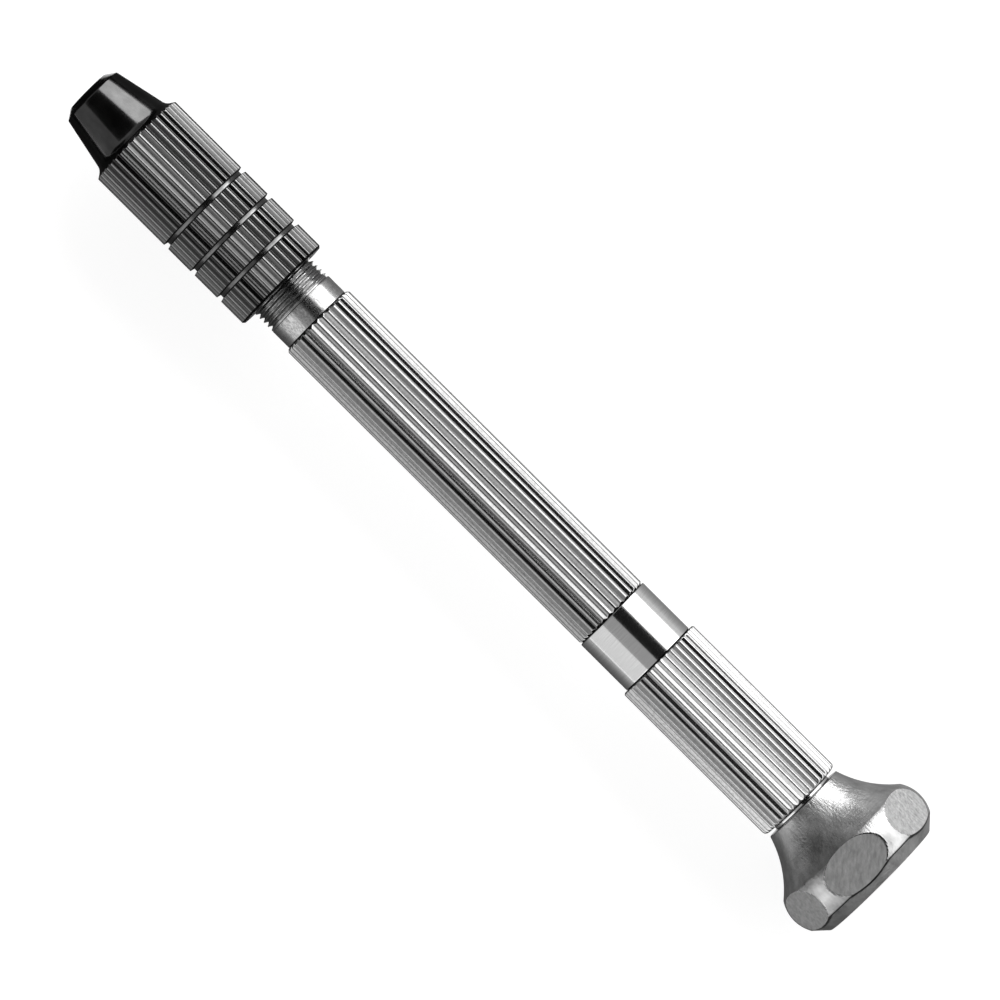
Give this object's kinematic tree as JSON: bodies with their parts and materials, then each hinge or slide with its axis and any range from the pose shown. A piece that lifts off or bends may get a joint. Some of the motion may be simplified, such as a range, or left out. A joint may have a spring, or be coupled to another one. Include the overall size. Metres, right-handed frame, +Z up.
{
  "type": "pin vise",
  "caption": "Pin vise for small drills and wire: fluted screw chuck with a split collet, fluted hollow barrel and handle, and a swivelling hexagonal palm head.",
  "frame": {"origin": "on the surface that the tool lies on, under the middle of its length and its axis", "axes": "+X along the tool from the nose to the palm head, +Z up out of the surface, with a flat of the hexagonal head down"},
  "size_m": [0.1118, 0.0178, 0.0162],
  "materials": {
    "black_oxide_steel": "black oxide, polished",
    "collet_steel": "ground tool steel",
    "nickel_plate": "bright nickel plate",
    "handle_nickel_plate": "bright nickel plate",
    "bush_brass": "turned",
    "washer_steel": "polished",
    "spindle_steel": "turned",
    "spring_steel": "stamped",
    "head_nickel_plate": "satin nickel plate over turned and milled steel"
  },
  "bodies": {
    "barrel": {"barrel": "nickel_plate"},
    "collet": {"collet": "collet_steel"},
    "chuck": {"chuck_sleeve": "black_oxide_steel"},
    "spare": {"spare_collet": "collet_steel"},
    "handle": {"rear_handle": "handle_nickel_plate", "end_bush": "bush_brass"},
    "head": {"palm_head": "head_nickel_plate", "head_spindle": "spindle_steel", "thrust_washer": "washer_steel", "clip_washer": "spindle_steel", "retaining_clip": "spring_steel"}
  },
  "joints": [
    {"name": "chuck_advance", "type": "slide", "parent": "barrel", "child": "collet", "axis": [-1, 0, 0], "range_m": [0, 0.01368]},
    {"name": "chuck_turn", "type": "hinge", "parent": "collet", "child": "chuck", "pos_m": [-0.04, 0, 0.0081], "axis": [-1, 0, 0], "range_deg": [0, 8641]},
    {"name": "handle_advance", "type": "slide", "parent": "barrel", "child": "spare", "axis": [1, 0, 0], "range_m": [0, 0.0075]},
    {"name": "handle_turn", "type": "hinge", "parent": "spare", "child": "handle", "pos_m": [0.035, 0, 0.0081], "axis": [1, 0, 0], "range_deg": [0, 3601]},
    {"name": "head_swivel", "type": "hinge", "parent": "handle", "child": "head", "pos_m": [0.05, 0, 0.0081], "axis": [1, 0, 0], "continuous": true}
  ],
  "couplings": [
    {"joint": "chuck_turn", "follows": "chuck_advance", "rad_per_m": 11023},
    {"joint": "handle_turn", "follows": "handle_advance", "rad_per_m": 8377.6}
  ]
}
